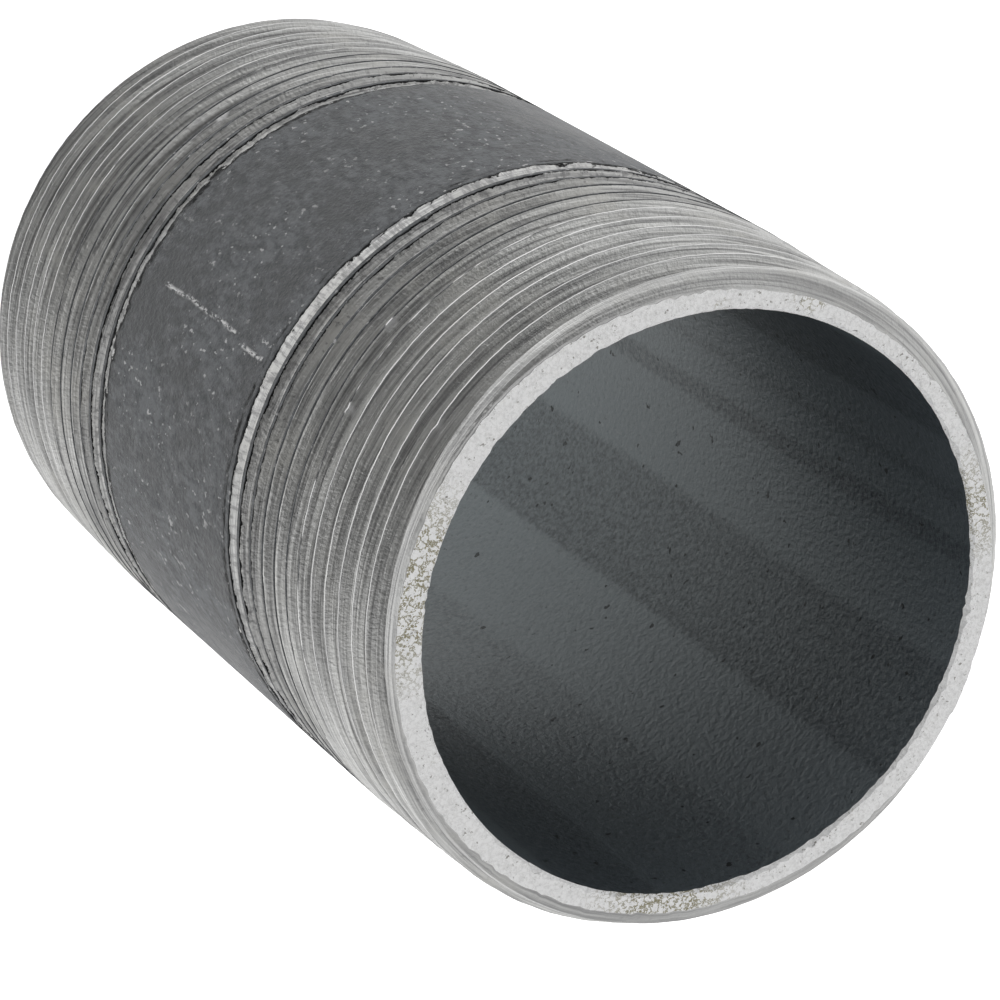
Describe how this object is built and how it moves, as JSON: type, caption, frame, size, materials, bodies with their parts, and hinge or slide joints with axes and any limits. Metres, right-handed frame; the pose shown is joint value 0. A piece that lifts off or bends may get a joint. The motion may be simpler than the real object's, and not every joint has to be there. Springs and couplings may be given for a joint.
{
  "type": "threaded pipe nipple",
  "caption": "Short straight steel pipe with an external taper pipe thread cut on each end and a plain dark-coated barrel between them; joins two female-threaded fittings.",
  "frame": {"origin": "centre of the lower end face, on the pipe's axis", "axes": "+Z along the pipe's axis, from the lower end face to the upper; +X is the side from which the phase of each thread is measured"},
  "size_m": [0.073, 0.073, 0.1143],
  "materials": {
    "black_steel": "thin dark blue-grey mill coating, satin, on the barrel and bore; bare cut steel on the threads and the sawn end faces"
  },
  "bodies": {
    "root": {"pipe_nipple": "black_steel"}
  },
  "joints": []
}
